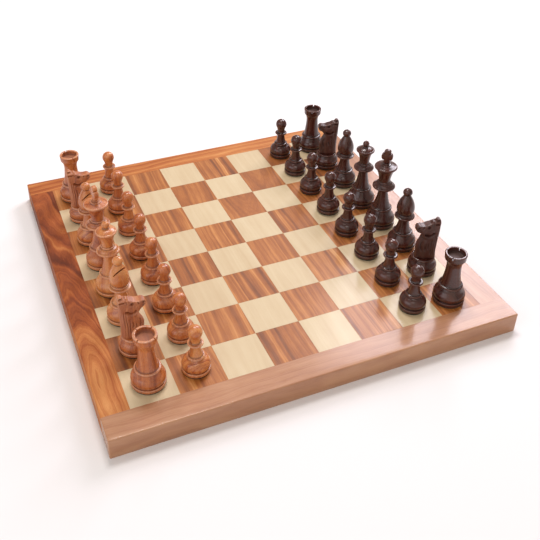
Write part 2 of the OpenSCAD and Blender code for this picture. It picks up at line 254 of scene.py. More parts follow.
M = {
    "rail": wood("border_walnut", RAIL, band=9, fine=2.0, wander=3.0, fibre=0.12, pores=0.14, pore_col=srgb(120, 70, 46), rough=(0.44, 0.56), coat=0.55, coat_rough=0.17, contrast=0.6, wear_and_highlight=0.3),
    "red_rail": wood("border_walnut_red", RED_RAIL, band=9, fine=2.0, wander=3.0, fibre=0.13, pores=0.16, pore_col=srgb(92, 46, 26), rough=(0.54, 0.66), coat=0.0, contrast=0.75, wear_and_highlight=0.3, ior=1.38),
    "dark_sq": wood("square_walnut", WALNUT, lines=0.6, band=8.0, fine=2.2, wander=1.8, fibre=0.16, pores=0.2, pore_col=srgb(104, 58, 28), rough=(0.46, 0.58), coat=0.35, coat_rough=0.17, contrast=0.5),
    "light_sq": wood("square_maple", MAPLE, band=11, fine=2.8, wander=2.0, fibre=0.05, pores=0.1, pore_col=srgb(186, 150, 112), rough=(0.46, 0.58), coat=0.4, coat_rough=0.17, contrast=0.17),
    "core": wood("core_panel_wood", MAPLE, band=7, fine=2.0, wander=1.5, fibre=0.2, pores=0.2, rough=(0.6, 0.75), coat=0.0, contrast=0.7),
    # for the men the pale edge colours are partly a painted highlight, and the dark hollow colours are painted shade
    "light_men": wood("light_men_wood", LIGHT_MEN, band=5.5, fine=1.1, wander=2.4, fibre=0.3, pores=0.34, pore_col=srgb(112, 54, 28), rough=(0.24, 0.34), coat=0.0, contrast=0.55, wear_and_highlight=0.85, edge_col=srgb(228, 178, 144), painted_shade_col=srgb(74, 29, 14), dull_col=srgb(146, 98, 76), ior=1.66),
    "dark_men": wood("dark_men_wood", DARK_MEN, band=4.6, fine=1.1, wander=2.0, fibre=0.15, pores=0.22, pore_col=srgb(20, 9, 8), rough=(0.14, 0.26), coat=0.0, contrast=0.5, wear_and_highlight=0.3, edge_col=srgb(128, 80, 64), painted_shade_col=srgb(14, 6, 5), dull_col=srgb(66, 42, 35), ior=1.6),
}


def felt_material():
    n = Nodes("dark_felt")
    p = n.attr("gc", "Vector")
    a = n.noise(p, 2.2, 4.0, 0.7)
    b = n.noise(p, 0.35, 3.0, 0.6)
    v = n.math("MULTIPLY_ADD", b, 0.5, n.math("MULTIPLY", a, 0.5))
    n.put(n.ramp(v, [(0.3, srgb(10, 14, 11)), (0.5, srgb(20, 27, 21)), (0.7, srgb(37, 46, 36))]), n.bsdf.inputs["Base Color"])
    n.put(n.fit(a, 0.3, 0.7, 0.85, 0.98), n.bsdf.inputs["Roughness"])
    n.put(n.bump(a, 0.00025, 0.8), n.bsdf.inputs["Normal"])
    n.bsdf.inputs["Sheen Weight"].default_value = 0.35
    n.bsdf.inputs["Sheen Roughness"].default_value = 0.5
    return n.mat


M["felt"] = felt_material()


# ---------------------------------------------------------------- meshes
def mesh_from(name, verts, faces):
    me = bpy.data.meshes.new(name)
    me.from_pydata([tuple(v) for v in verts], [], [tuple(f) for f in faces])
    me.validate()
    me.update()
    return me


def coords(me):
    co = np.empty(len(me.vertices) * 3, np.float32)
    me.vertices.foreach_get("co", co)
    return co.reshape(-1, 3).astype(float)


def put_attr(me, name, data, kind="FLOAT"):
    a = me.attributes.get(name) or me.attributes.new(name, kind, "POINT")
    data = np.ascontiguousarray(data, np.float32)
    a.data.foreach_set("vector" if kind == "FLOAT_VECTOR" else "value", data.ravel())


def curvature(me, rounds=2):
    """(how convex, how hollow) each vertex is, each from 0 to 1, from the bend of the surface in 1/mm."""
    co = coords(me) / MM
    n = len(co)
    ed = np.empty(len(me.edges) * 2, np.int32)
    me.edges.foreach_get("vertices", ed)
    ed = ed.reshape(-1, 2)
    nor = np.empty(n * 3, np.float32)
    me.vertex_normals.foreach_get("vector", nor)
    nor = nor.reshape(-1, 3)
    a, b = ed[:, 0], ed[:, 1]
    d = co[b] - co[a]
    ll = np.maximum((d * d).sum(1), 1e-6)
    ka = -(nor[a] * d).sum(1) / ll
    kb = (nor[b] * d).sum(1) / ll
    cnt = np.bincount(a, minlength=n) + np.bincount(b, minlength=n)
    k = (np.bincount(a, ka, n) + np.bincount(b, kb, n)) / np.maximum(cnt, 1) * 2
    k = np.clip(k, -4, 4)
    for _ in range(rounds):
        s = np.bincount(a, k[b], n) + np.bincount(b, k[a], n)
        k = 0.4 * k + 0.6 * s / np.maximum(cnt, 1)
    return np.clip((k - 0.25) / 1.2, 0, 1), np.clip((-k - 0.2) / 0.9, 0, 1)


def rot(axis, deg):
    return np.array(Matrix.Rotation(math.radians(deg), 3, axis))


def dress(obj, mat, gc, tone=0.5, streak=1.0, wear_and_highlight=None, painted_shade=None, sharp=35):
    me = obj.data
    n = len(me.vertices)
    put_attr(me, "gc", gc, "FLOAT_VECTOR")
    put_attr(me, "tone", np.broadcast_to(tone, n))
    put_attr(me, "streak", np.broadcast_to(streak, n))
    # unless given, convex parts get wear with a painted highlight and hollows get painted shade, from the bend of the
    # surface
    if wear_and_highlight is None:
        wear_and_highlight, painted_shade = curvature(me)
    put_attr(me, "wear_and_highlight", wear_and_highlight)
    put_attr(me, "painted_shade", painted_shade)
    me.materials.clear()
    me.materials.append(mat)
    me.shade_smooth()
    if sharp:
        me.set_sharp_from_angle(angle=math.radians(sharp))


def add(name, me, body, nodes=()):
    obj = bpy.data.objects.new(name, me)
    scene.collection.objects.link(obj)
    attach(obj, body)
    if nodes:
        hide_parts(*nodes)
    return obj


# profiles, in mm: the same curves as the CAD, with more points
def cubic(a, b, c, d, n=18):
    t = np.linspace(0, 1, n + 1)[1:, None]
    s = 1 - t
    a, b, c, d = map(np.array, (a, b, c, d))
    return [tuple(q) for q in s**3 * a + 3 * s * s * t * b + 3 * s * t * t * c + t**3 * d]


def arc(c, r, a0, a1, n=14):
    a = np.radians(np.linspace(a0, a1, n + 1))
    return [(c[0] + r * math.cos(x), c[1] + r * math.sin(x)) for x in a]


FELT_T = 1.4


def pedestal(rf, rr, zr, rs):
    return (
        [(0, FELT_T + 0.05), (rf - 1.1, FELT_T + 0.05)]
        + arc((rf - 1.1, FELT_T + 1.15), 1.1, -90, 0, 7)
        + arc((rf - 0.9, 4.1), 0.9, 0, 90, 7)
        + [(rf - 1.65, 5.15), (rf - 1.65, 5.95)]
        + cubic((rf - 1.65, 5.95), (rf + 0.5, 6.9), (rf + 0.6, 11.2), (rf - 2.2, 13.9), 18)
        + cubic((rf - 2.2, 13.9), (rf - 3.5, 15.3), (rr - 0.4, zr - 2.2), (rr - 1.5, zr - 0.7), 9)
        + [(rr - 0.5, zr - 0.7), (rr, zr), (rr - 0.1, zr + 0.8), (rr - 0.7, zr + 1.4), (rs + 0.3, zr + 1.7)]
    )


def soften(pts, r=0.3, least=16):
    """Rounds each corner of a profile that turns by more than least degrees."""
    pts = [np.array(p, float) for p in pts]
    out = [pts[0]]
    for i in range(1, len(pts) - 1):
        a, p, b = pts[i - 1], pts[i], pts[i + 1]
        u, v = p - a, b - p
        lu, lv = np.linalg.norm(u), np.linalg.norm(v)
        if lu < 1e-6 or lv < 1e-6:
            out.append(p)
            continue
        turn = math.degrees(math.acos(float(np.clip(np.dot(u, v) / lu / lv, -1, 1))))
        if turn < least:
            out.append(p)
            continue
        d = min(r, lu * 0.42, lv * 0.42)
        p0, p1 = p - u / lu * d, p + v / lv * d
        for t in (0.0, 0.25, 0.5, 0.75, 1.0):
            out.append((1 - t) ** 2 * p0 + 2 * t * (1 - t) * p + t * t * p1)
    out.append(pts[-1])
    return [tuple(q) for q in out]


def resample(pts, step=0.75):
    """Splits long stretches, so that no face is very long."""
    out = [pts[0]]
    for a, b in zip(pts, pts[1:]):
        k = max(1, int(math.ceil(math.hypot(b[0] - a[0], b[1] - a[1]) / step)))
        for i in range(1, k + 1):
            out.append((a[0] + (b[0] - a[0]) * i / k, a[1] + (b[1] - a[1]) * i / k))
    return out


def turned(name, prof, cx, cy, z0, segs=96):
    """A lathe-turned solid. prof runs in mm from the bottom centre to the top centre."""
    prof = [(max(r, 0.0), z) for r, z in prof]
    ang = np.linspace(0, 2 * math.pi, segs, endpoint=False)
    ca, sa = np.cos(ang), np.sin(ang)
    verts, rings = [], []
    for r, z in prof:
        if r < 1e-4:
            rings.append([len(verts)])
            verts.append((cx, cy, z0 + z * MM))
        else:
            rings.append(list(range(len(verts), len(verts) + segs)))
            verts.extend(zip(cx + r * MM * ca, cy + r * MM * sa, np.full(segs, z0 + z * MM)))
    faces = []
    for lo, hi in zip(rings, rings[1:]):
        for k in range(segs):
            m = (k + 1) % segs
            if len(lo) == 1 and len(hi) > 1:
                faces.append((lo[0], hi[m], hi[k]))
            elif len(hi) == 1 and len(lo) > 1:
                faces.append((lo[k], lo[m], hi[0]))
            elif len(lo) > 1:
                faces.append((lo[k], lo[m], hi[m], hi[k]))
    return mesh_from(name, verts, faces)


def profile_bend(prof):
    """Arrays of a profile's points and how convex or hollow it is at each, in the section plane."""
    p = np.array(prof)
    k = np.zeros(len(p))
    for i in range(1, len(p) - 1):
        u, v = p[i] - p[i - 1], p[i + 1] - p[i]
        lu, lv = np.linalg.norm(u), np.linalg.norm(v)
        if lu > 1e-9 and lv > 1e-9:
            k[i] = math.asin(np.clip((u[0] * v[1] - u[1] * v[0]) / lu / lv, -1, 1)) / ((lu + lv) / 2)
    s = np.concatenate([[0], np.cumsum(np.hypot(*np.diff(p, axis=0).T))])
    w = np.exp(-(((s[:, None] - s[None]) / 0.45) ** 2))
    # each point stands for its own share of the length
    share = np.gradient(s) + 1e-9
    k = (w * (k * share)[None]).sum(1) / (w * share[None]).sum(1)
    return p, np.clip((k - 0.22) / 0.9, 0, 1), np.clip((-k - 0.12) / 0.55, 0, 1)


def lathe_wear_highlight_shade(me, prof, cx, cy, z0):
    """Wear and a painted highlight on convex parts, and painted shade in hollows, at each vertex of a turned piece,
    from the nearest point of its profile.
    """
    p, wear_and_highlight, painted_shade = profile_bend(prof)
    co = coords(me)
    rz = np.stack([np.hypot(co[:, 0] - cx, co[:, 1] - cy), co[:, 2] - z0], 1) / MM
    near = np.empty(len(rz), int)
    for i in range(0, len(rz), 4000):
        d = ((rz[i : i + 4000, None] - p[None]) ** 2).sum(2)
        near[i : i + 4000] = d.argmin(1)
    return wear_and_highlight[near], painted_shade[near]


def cut(me, cutters):
    """me with the cutters' meshes taken out of it."""
    a = bpy.data.objects.new("cut_a", me)
    scene.collection.objects.link(a)
    made = []
    for i, c in enumerate(cutters):
        b = bpy.data.objects.new(f"cut_{i}", c)
        scene.collection.objects.link(b)
        made.append(b)
        m = a.modifiers.new("b", "BOOLEAN")
        m.operation, m.solver, m.object = "DIFFERENCE", "EXACT", b
    dg = bpy.context.evaluated_depsgraph_get()
    out = bpy.data.meshes.new_from_object(a.evaluated_get(dg))
    name = me.name
    for o in (a, *made):
        d = o.data
        bpy.data.objects.remove(o)
        bpy.data.meshes.remove(d)
    out.name = name
    return out


def block(lo, hi, mat=None):
    """A box as a cutter, in mm, placed by a 4x4."""
    verts = [Vector((x, y, z)) for x in (lo[0], hi[0]) for y in (lo[1], hi[1]) for z in (lo[2], hi[2])]
    if mat is not None:
        verts = [mat @ v for v in verts]
    faces = [(0, 1, 3, 2), (4, 6, 7, 5), (0, 4, 5, 1), (2, 3, 7, 6), (0, 2, 6, 4), (1, 5, 7, 3)]
    return mesh_from("cutter", [v * MM for v in verts], faces)


# signed distance shapes and their surface, for the carved pieces
def poly_sd(poly, x, z):
    p = np.array(poly, float)
    q = np.roll(p, -1, 0)
    d = np.full(x.shape, 1e9)
    inside = np.zeros(x.shape, bool)
    for (x0, z0), (x1, z1) in zip(p, q):
        ex, ez = x1 - x0, z1 - z0
        ll = ex * ex + ez * ez
        if ll < 1e-12:
            continue
        t = np.clip(((x - x0) * ex + (z - z0) * ez) / ll, 0, 1)
        d = np.minimum(d, np.hypot(x - x0 - t * ex, z - z0 - t * ez))
        if abs(ez) > 1e-12:
            inside ^= ((z0 > z) != (z1 > z)) & (x < x0 + (z - z0) * ex / ez)
    return np.where(inside, -d, d)


def line_d(pts, x, z):
    """Distance to an open line, and how far along it the nearest point is, from 0 to 1."""
    p = np.array(pts, float)
    seg = np.hypot(*np.diff(p, axis=0).T)
    at = np.concatenate([[0], np.cumsum(seg)])
    d, s = np.full(x.shape, 1e9), np.zeros(x.shape)
    for i, ((x0, z0), (x1, z1)) in enumerate(zip(p, p[1:])):
        ex, ez = x1 - x0, z1 - z0
        t = np.clip(((x - x0) * ex + (z - z0) * ez) / (ex * ex + ez * ez), 0, 1)
        e = np.hypot(x - x0 - t * ex, z - z0 - t * ez)
        s = np.where(e < d, (at[i] + t * seg[i]) / at[-1], s)
        d = np.minimum(d, e)
    return d, s


def smax(a, b, k):
    h = np.maximum(k - np.abs(a - b), 0) / k
    return np.maximum(a, b) + h * h * k / 4


def smin(a, b, k):
    return -smax(-a, -b, k)


def smooth_line(pts, sub=5, closed=False):
    """Catmull-Rom through pts."""
    p = np.array(pts, float)
    n = len(p)
    out = []
    for i in range(n if closed else n - 1):
        g = (lambda k: p[k % n]) if closed else (lambda k: p[min(max(k, 0), n - 1)])
        a, b, c, d = g(i - 1), g(i), g(i + 1), g(i + 2)
        for t in np.arange(sub) / sub:
            out.append(0.5 * (2 * b + (c - a) * t + (2 * a - 5 * b + 4 * c - d) * t * t + (3 * b - 3 * c + d - a) * t**3))
    if not closed:
        out.append(p[-1])
    return [tuple(v) for v in out]


def surface(F, origin, h):
    """The zero surface of a sampled field as a quad mesh (surface nets). Negative is inside."""
    shape = tuple(s - 1 for s in F.shape)
    acc, cnt = np.zeros(shape + (3,)), np.zeros(shape)
    edges = []
    for ax in range(3):
        o0, o1 = (ax + 1) % 3, (ax + 2) % 3
        lo, hi = [slice(None)] * 3, [slice(None)] * 3
        lo[ax], hi[ax] = slice(0, -1), slice(1, None)
        a, b = F[tuple(lo)], F[tuple(hi)]
        cross = (a < 0) != (b < 0)
        t = np.where(cross, a / np.where(cross, a - b, 1), 0)
        for d0 in (0, 1):
            for d1 in (0, 1):
                s = [slice(None)] * 3
                s[o0] = slice(1, None) if d0 else slice(0, -1)
                s[o1] = slice(1, None) if d1 else slice(0, -1)
                c = cross[tuple(s)]
                acc[..., ax] += np.where(c, t[tuple(s)], 0)
                acc[..., o0] += c * d0
                acc[..., o1] += c * d1
                cnt += c
        edges.append((ax, o0, o1, cross, a < 0))
    live = cnt > 0
    index = np.full(shape, -1)
    index[live] = np.arange(live.sum())
    cells = np.argwhere(live)
    verts = np.array(origin) + h * (cells + acc[live] / cnt[live][:, None])
    faces = []
    for ax, o0, o1, cross, inside in edges:
        e = np.argwhere(cross)
        e = e[(e[:, o0] > 0) & (e[:, o1] > 0) & (e[:, o0] < F.shape[o0] - 1) & (e[:, o1] < F.shape[o1] - 1)]
        quad = []
        for d0, d1 in ((1, 1), (0, 1), (0, 0), (1, 0)):
            c = e.copy()
            c[:, o0] -= d0
            c[:, o1] -= d1
            quad.append(index[tuple(c.T)])
        quad = np.stack(quad, 1)
        flip = ~inside[tuple(e.T)]
        quad[flip] = quad[flip][:, ::-1]
        faces.append(quad)
    return verts, np.concatenate(faces)


# ---------------------------------------------------------------- the board
board_tone = {}


def rail(name, node, along, origin, heart, tone, streak, mat="rail"):
    """A border rail: its CAD box with rounded outer edges, split along its length. along is 0 for X and 1 for Y."""
    lo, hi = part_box(node)
    bm = bmesh.new()
    bmesh.ops.create_cube(bm, size=1.0)
    size = hi - lo
    for v in bm.verts:
        v.co = Vector((lo.x + (v.co.x + 0.5) * size.x, lo.y + (v.co.y + 0.5) * size.y, lo.z + (v.co.z + 0.5) * size.z))
    out = 1 - along
    sign = 1 if (lo[out] + hi[out]) > 0 else -1
    face = hi[out] if sign > 0 else lo[out]
    tall = [e for e in bm.edges if all(abs(v.co[out] - face) < 1e-6 for v in e.verts)]
    top = [e for e in tall if all(abs(v.co.z - hi.z) < 1e-6 for v in e.verts)]
    low = [e for e in tall if all(abs(v.co.z - lo.z) < 1e-6 for v in e.verts)]
    if along == 0:  # the long rails' ends are outside too
        ends = [e for e in bm.edges if abs(e.verts[0].co.x - e.verts[1].co.x) < 1e-6 and abs(abs(e.verts[0].co.x) - hi.x) < 1e-6]
        top += [e for e in ends if all(abs(v.co.z - hi.z) < 1e-6 for v in e.verts) and e not in top]
        low += [e for e in ends if all(abs(v.co.z - lo.z) < 1e-6 for v in e.verts) and e not in low]
        up = [e for e in ends if e in tall and abs(e.verts[0].co.z - e.verts[1].co.z) > 1e-6]
    else:
        up = []
    bmesh.ops.bevel(bm, geom=top + up, offset=0.0011, segments=5, profile=0.5, affect="EDGES", clamp_overlap=True)
    low = [e for e in bm.edges if all(abs(v.co.z - lo.z) < 1e-6 for v in e.verts) and (all(abs(v.co[out] - face) < 1e-6 for v in e.verts) or (along == 0 and all(abs(abs(v.co.x) - hi.x) < 1e-6 for v in e.verts)))]
    bmesh.ops.bevel(bm, geom=low, offset=0.0004, segments=2, profile=0.5, affect="EDGES", clamp_overlap=True)
    for ax, step in ((along, 0.006), (1 - along, 0.004), (2, 0.004)):
        no = Vector((0, 0, 0))
        no[ax] = 1
        k = int((hi[ax] - lo[ax]) / step)
        for i in range(1, k):
            co = Vector((0, 0, 0))
            co[ax] = lo[ax] + (hi[ax] - lo[ax]) * i / k
            bmesh.ops.bisect_plane(bm, geom=bm.verts[:] + bm.edges[:] + bm.faces[:], plane_co=co, plane_no=no, dist=1e-7)
    me = bpy.data.meshes.new(name)
    bm.to_mesh(me)
    bm.free()
    obj = add(name, me, "board", (node,))
    p = coords(me) / MM
    g = np.stack([p[:, 1 - along] - origin[0], p[:, 2] - origin[1], p[:, along] - origin[2]], 1)
    g = heart(g)
    dress(obj, M[mat], g, tone=tone(p) if callable(tone) else tone, streak=streak, sharp=40)
    return obj


def plain_heart(dx, dy, drift=0.0, turn=0.0):
    """Grain coordinates of a straight plank whose heart lies dx across and dy deep from it."""

    def f(g):
        x, y, z = g.T
        return np.stack([x + dx + turn * z, y + dy + drift * z, z], 1)

    return f


def left_heart(g):
    """Flat-sawn: near one end the face runs just above the heart, and the figure closes in an oval."""
    x, y, z = g.T
    swell = 9.0 * np.exp(-(((z + 128) / 46) ** 2)) * np.exp(-(((x + 2) / 13) ** 2))
    return np.stack([x * 0.8 + 6 + 0.02 * z, y + 26 + 0.10 * z - swell * 1.6, z], 1)


def along_y(near, far):
    return lambda p: near + (far - near) * np.clip((p[:, 1] + 190) / 380, 0, 1) ** 0.8


rail("border_rail_near", "rail_near", 0, (0, 0, -400), plain_heart(95, -30, 0.03, 0.012), 0.56, 0.5)
rail("border_rail_far", "rail_far", 0, (0, 0, 900), plain_heart(-120, -25, 0.02, -0.02), lambda p: 0.68 + 0.12 * np.clip(p[:, 0] / 190, -1, 1), 0.8, "red_rail")
rail("border_rail_left", "rail_left", 1, (-193, 22, 0), left_heart, along_y(0.68, 0.28), 0.9, "red_rail")
rail("border_rail_right", "rail_right", 1, (193, 0, 300), plain_heart(70, 45, 0.0, 0.02), 0.52, 0.6)


def inlays(name, node, parity, mat):
    """All squares of one colour, each with its own cut of wood and a slightly eased top edge."""
    lo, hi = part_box("light_squares")
    gap, ease = 0.025 * MM, 0.10 * MM
    verts, faces, gcs, tones, streaks = [], [], [], [], []
    rs = np.random.default_rng(41 + parity)
    for i in range(8):
        for j in range(8):
            if (i + j) % 2 != parity:
                continue
            x0, x1 = -FIELD / 2 + i * SQ + gap, -FIELD / 2 + (i + 1) * SQ - gap
            y0, y1 = -FIELD / 2 + j * SQ + gap, -FIELD / 2 + (j + 1) * SQ - gap
            base = len(verts)
            tile = []
            n = 6
            xs = [x0, x0 + ease] + list(np.linspace(x0 + ease, x1 - ease, n + 1))[1:-1] + [x1 - ease, x1]
            ys = [y0, y0 + ease] + list(np.linspace(y0 + ease, y1 - ease, n + 1))[1:-1] + [y1 - ease, y1]
            nx, ny = len(xs), len(ys)
            for b, y in enumerate(ys):
                for a, x in enumerate(xs):
                    z = TOP - (ease if a in (0, nx - 1) or b in (0, ny - 1) else 0)
                    tile.append((x, y, z))
            ring = [a for a in range(nx)] + [b * nx + nx - 1 for b in range(1, ny)] + [(ny - 1) * nx + a for a in range(nx - 2, -1, -1)] + [b * nx for b in range(ny - 2, 0, -1)]
            low = len(tile)
            tile += [(tile[k][0], tile[k][1], lo.z) for k in ring]
            mid = len(tile)
            tile.append(((x0 + x1) / 2, (y0 + y1) / 2, lo.z))
            for b in range(ny - 1):
                for a in range(nx - 1):
                    faces.append(tuple(base + v for v in (b * nx + a, b * nx + a + 1, (b + 1) * nx + a + 1, (b + 1) * nx + a)))
            m = len(ring)
            for k in range(m):
                kk = (k + 1) % m
                faces.append((base + ring[k], base + low + k, base + low + kk, base + ring[kk]))
                faces.append((base + low + k, base + mid, base + low + kk))
            verts += tile
            p = np.array(tile) / MM
            c = np.array([(x0 + x1) / 2, (y0 + y1) / 2, TOP]) / MM
            q = p - c
            turn = math.radians(rs.normal(0, 1.6))
            x = q[:, 0] * math.cos(turn) + q[:, 1] * math.sin(turn)
            z = -q[:, 0] * math.sin(turn) + q[:, 1] * math.cos(turn)
            dx = rs.choice([-1, 1]) * rs.uniform(70, 160)
            dy = rs.uniform(-30, 30)
            drift = rs.normal(0, 0.03)
            tone, streak = 0.5 + rs.normal(0, 0.04), rs.uniform(0.75, 1.25)
            if (i, j) in SWIRL:
                dx, dy, drift = SWIRL[(i, j)]
            if (i, j) in TONE:
                tone, streak = TONE[(i, j)]
            gcs.append(np.stack([x + dx, q[:, 2] + dy + drift * z, z + rs.uniform(-900, 900)], 1))
            tones.append(np.full(len(p), tone))
            streaks.append(np.full(len(p), streak))
    me = mesh_from(name, verts, faces)
    obj = add(name, me, "board", (node,))
    z = np.zeros(len(verts))
    dress(obj, mat, np.concatenate(gcs), np.concatenate(tones), np.concatenate(streaks), z, z, sharp=30)
    return obj


# (column from the light side, row from the h file): heart offset across, offset deep, drift along the grain
SWIRL = {
    (5, 6): (4, -16, 0.10),
    (4, 5): (-8, -20, 0.12),
    (3, 6): (20, -26, 0.05),
    (6, 7): (12, -22, 0.08),
}
TONE = {}

inlays("inlaid_light_squares", "light_squares", 0, M["light_sq"])
inlays("inlaid_dark_squares", "dark_squares", 1, M["dark_sq"])


def core():
    """The hidden panel, seen only from below."""
    lo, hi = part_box("board_core")
    n = 24
    xs, ys = np.linspace(lo.x, hi.x, n + 1), np.linspace(lo.y, hi.y, n + 1)
    verts = [(x, y, z) for z in (lo.z, hi.z) for y in ys for x in xs]
    k, off = n + 1, (n + 1) ** 2
    faces = []
    for b in range(n):
        for a in range(n):
            v = b * k + a
            faces.append((v, v + k, v + k + 1, v + 1))
            faces.append((off + v, off + v + 1, off + v + k + 1, off + v + k))
    ring = list(range(n)) + [b * k + n for b in range(n)] + [n * k + a for a in range(n, 0, -1)] + [b * k for b in range(n, 0, -1)]
    for i, v in enumerate(ring):
        w = ring[(i + 1) % len(ring)]
        faces.append((v, w, w + off, v + off))
    me = mesh_from("core_panel", verts, faces)
    obj = add("core_panel", me, "board", ("board_core",))
    p = coords(me) / MM
    z = np.zeros(len(p))
    dress(obj, M["core"], np.stack([p[:, 0] + 260, p[:, 2] + 15, p[:, 1]], 1), 0.4, 0.8, z, z, sharp=30)


core()

# ---------------------------------------------------------------- the chessmen
PAWN_R, ROOK_R, KNIGHT_R, BISHOP_R, QUEEN_R, KING_R = 13.3, 15.9, 15.0, 15.3, 16.1, 16.4
ROOK_H, CUP = 58.9, 5.4

PAWN = soften(
    pedestal(PAWN_R, 8.4, 17.8, 6.4)
    + cubic((6.4, 19.8), (5.4, 23.0), (4.6, 27.0), (4.5, 31.6), 16)
    + [(6.2, 32.1)]
    + arc((6.4, 33.1), 1.0, -70, 80, 10)
    + [(5.2, 34.2), (4.5, 35.0)]
    + cubic((4.5, 35.0), (4.2, 37.2), (4.7, 39.8), (6.13, 42.7), 12)
    + arc((0, 45.5), 6.75, -24.5, 90, 30),
    0.25,
)
ROOK = soften(
    pedestal(ROOK_R, 12.2, 19.8, 10.0)
    + cubic((10.0, 21.8), (8.7, 26.8), (7.6, 34.0), (7.3, 43.0), 20)
    + cubic((7.3, 43.0), (7.3, 46.0), (8.1, 49.2), (9.7, 51.6), 12)
    + [(10.3, 52.0), (10.5, 52.9), (10.6, 55.5), (10.9, ROOK_H - 1.0), (10.7, ROOK_H - 0.3), (10.2, ROOK_H), (8.9, ROOK_H), (8.3, ROOK_H - 0.6), (8.1, ROOK_H - CUP + 0.5), (7.6, ROOK_H - CUP), (0, ROOK_H - CUP)],
    0.3,
)
BISHOP = soften(
    pedestal(BISHOP_R, 10.9, 19.2, 8.6)
    + cubic((8.6, 21.2), (6.8, 26.0), (5.5, 31.0), (5.3, 38.0), 18)
    + [(8.2, 38.6)]
    + arc((9.8, 40.0), 1.0, -70, 80, 10)
    + [(9.0, 41.4), (8.6, 41.6), (8.5, 42.3), (7.9, 42.6), (7.4, 43.4)]
    + cubic((7.4, 43.4), (10.6, 46.8), (10.1, 54.0), (6.7, 60.6), 24)
    + cubic((6.7, 60.6), (5.3, 63.4), (4.1, 65.2), (3.5, 66.6), 10)
    + [(3.6, 67.0)]
    + cubic((3.6, 67.0), (5.8, 68.2), (5.4, 72.6), (2.4, 73.7), 14)
    + [(1.2, 74.3), (0.5, 75.1), (0, 75.2)],
    0.25,
)
QUEEN = soften(
    pedestal(QUEEN_R, 11.2, 21.6, 9.3)
    + cubic((9.3, 23.6), (7.2, 29.5), (5.4, 37.5), (5.0, 47.0), 22)
    + [(8.3, 48.0)]
    + arc((10.2, 49.7), 1.3, -70, 60, 10)
    + [(9.9, 51.4), (9.0, 52.5), (8.7, 52.8), (8.5, 53.4), (6.8, 54.2), (6.5, 54.5), (6.6, 55.2), (6.2, 55.7), (5.6, 56.1)]
    + cubic((5.6, 56.1), (5.7, 61.6), (6.7, 67.4), (9.0, 71.1), 20)
    + arc((9.1, 72.6), 1.3, -40, 90, 12)
    + cubic((9.1, 73.9), (7.5, 75.3), (5.4, 76.2), (3.3, 76.6), 12)
    + [(2.9, 77.1)]
    + arc((0, 80.5), 3.7, -42, 70, 22)
    + [(0.7, 84.4), (0.3, 84.85), (0, 84.9)],
    0.22,
)
KING = soften(
    pedestal(KING_R, 11.8, 22.6, 9.8)
    + cubic((9.8, 24.6), (7.6, 31.0), (5.5, 39.0), (5.0, 48.2), 22)
    + [(8.9, 49.3)]
    + arc((11.1, 51.3), 1.4, -70, 60, 10)
    + [(10.8, 53.0), (9.7, 54.3), (9.3, 54.6), (9.1, 55.2), (7.5, 56.2), (7.2, 56.5), (7.3, 57.2), (6.9, 57.7), (6.3, 58.1)]
    + cubic((6.3, 58.1), (6.5, 64.0), (8.3, 70.2), (11.0, 74.5), 20)
    + arc((11.1, 76.0), 1.4, -40, 90, 12)
    + cubic((11.1, 77.4), (9.2, 77.8), (7.4, 78.5), (5.7, 78.9), 12)
    + [(5.5, 79.6), (3.5, 80.1), (3.2, 80.9), (0, 80.9)],
    0.22,
)
KNIGHT = soften(pedestal(KNIGHT_R, 12.2, 18.2, 10.5) + [(0, 19.9)], 0.25)


def grain(rs, p, cx, cy, z0):
    """Grain coordinates for one man: turned from its own piece, with the heart off to one side."""
    q = p / MM - np.array([cx / MM, cy / MM, z0 / MM])
    m = rot("X", rs.normal(0, 2.5)) @ rot("Y", rs.normal(0, 2.5)) @ rot("Z", rs.uniform(0, 360))
    q = q @ m.T
    return q + np.array([rs.uniform(16, 40), rs.uniform(-12, 12), rs.uniform(-800, 800)])


def felt(man, rf, cx, cy, rs):
    """The felt disc under a man, with a soft cut edge."""
    r = rf - 0.9
    prof = [(0, 0), (r - 0.25, 0), (r, 0.2), (r, 0.7), (r, 1.2), (r - 0.2, FELT_T), (0, FELT_T)]
    me = turned(f"{man}_felt", resample(prof, 2.5), cx, cy, TOP, 72)
    obj = add(f"{man}_felt", me, man)
    co = coords(me)
    z = np.zeros(len(co))
    dress(obj, M["felt"], co / MM + rs.uniform(-50, 50, 3), 0.5, 1.0, z, z, sharp=50)


def man(name, prof, rf, tone, cutters=None, streak=1.0, seed=0, node=None, extra=None):
    node = node or name
    cx, cy = axis_of(node)
    rs = np.random.default_rng(1000 + seed)
    white = name.startswith("white")
    me = turned(f"{name}_wood", resample(prof, 1.1), cx, cy, TOP)
    if cutters:
        place = Matrix.Translation(Vector((cx, cy, TOP)) / MM)
        me = cut(me, [block(lo, hi, place @ m) for lo, hi, m in cutters])
    obj = add(f"{name}_wood", me, name, (node,))
    # wear with a painted highlight on the ridges, painted shade in the grooves
    wear_and_highlight, painted_shade = lathe_wear_highlight_shade(me, prof, cx, cy, TOP)
    dress(obj, M["light_men" if white else "dark_men"], grain(rs, coords(me), cx, cy, TOP), tone, streak, wear_and_highlight, painted_shade)
    if prof is ROOK:
        # the floor of the cup was never polished
        q = coords(me) / MM - np.array([cx, cy, TOP]) / MM
        put_attr(me, "dull", ((q[:, 2] > ROOK_H - CUP - 0.1) & (np.hypot(q[:, 0], q[:, 1]) < 8.2)).astype(float))
    felt(name, rf, cx, cy, rs)
    return cx, cy, rs


def saw_cuts(turn):
    return [((-15, -0.55, ROOK_H - 2.6), (15, 0.55, ROOK_H + 2), Matrix.Rotation(math.radians(turn + k), 4, "Z")) for k in (0, 90)]


def mitre(turn):
    m = Matrix.Rotation(math.radians(turn), 4, "Z") @ Matrix.Translation((0, 0, 54.8)) @ Matrix.Rotation(math.radians(-55), 4, "Y")
    return [((2.1, -12, -0.6), (16.1, 12, 0.6), m)]


